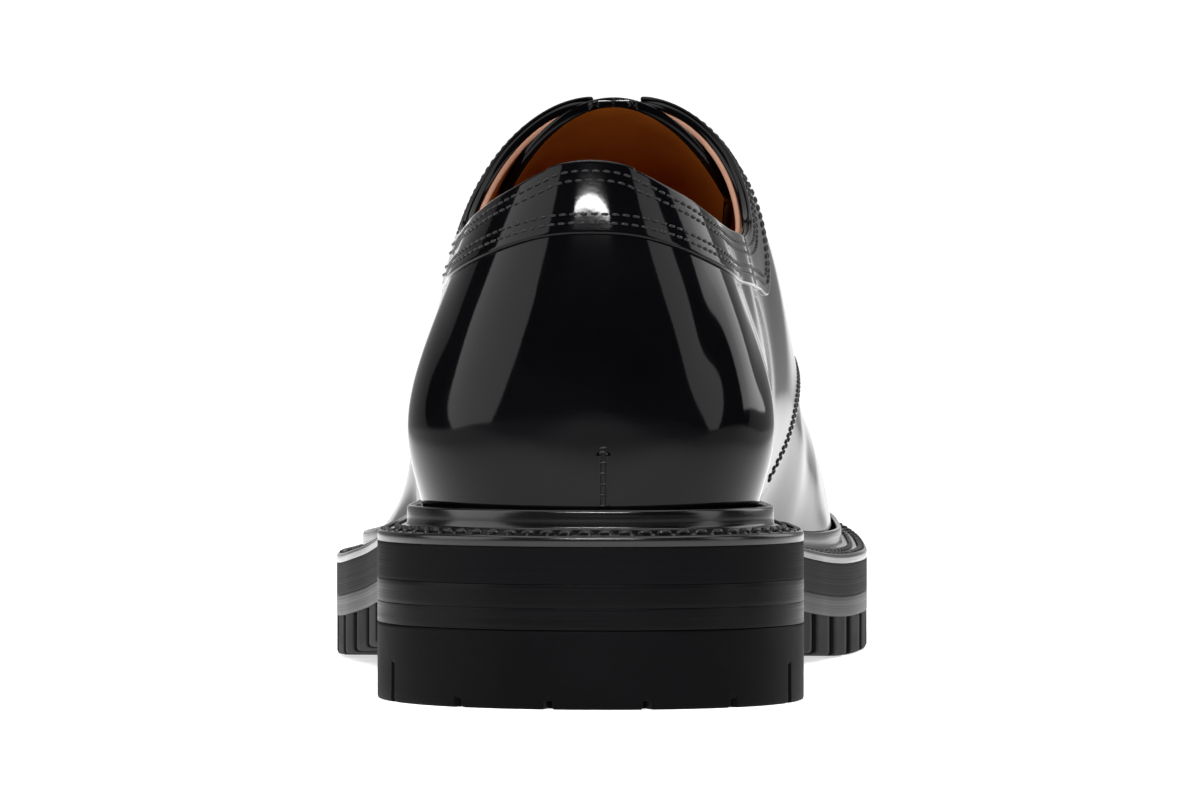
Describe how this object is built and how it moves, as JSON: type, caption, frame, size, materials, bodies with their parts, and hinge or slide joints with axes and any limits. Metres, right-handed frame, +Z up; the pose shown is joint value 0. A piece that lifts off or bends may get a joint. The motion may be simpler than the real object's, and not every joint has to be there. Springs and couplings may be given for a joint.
{
  "type": "split-toe lace-up shoe",
  "caption": "Left split-toe derby shoe in black polished leather with a stitched, ridged welt, stacked leather midsole and lugged rubber sole.",
  "frame": {"origin": "on the floor under the middle of the heel", "axes": "+Z up, +Y to the toe, +X to the inner side of the foot"},
  "size_m": [0.1096, 0.2993, 0.1119],
  "materials": {
    "polished_leather": "high gloss, black",
    "lining": "matt, tan brown",
    "edge_leather": "waxed black edge, fine layers",
    "sole_rubber": "satin black",
    "lace_cord": "waxed black cotton"
  },
  "bodies": {
    "root": {"upper": "polished_leather", "tongue": "polished_leather", "insole": "lining", "welt": "edge_leather", "midsole": "edge_leather", "outsole": "sole_rubber", "heel_lift": "edge_leather", "heel_block": "sole_rubber", "lace_bar_1": "lace_cord", "lace_bar_2": "lace_cord", "lace_bar_3": "lace_cord", "lace_bar_4": "lace_cord", "lace_bar_5": "lace_cord"}
  },
  "joints": []
}
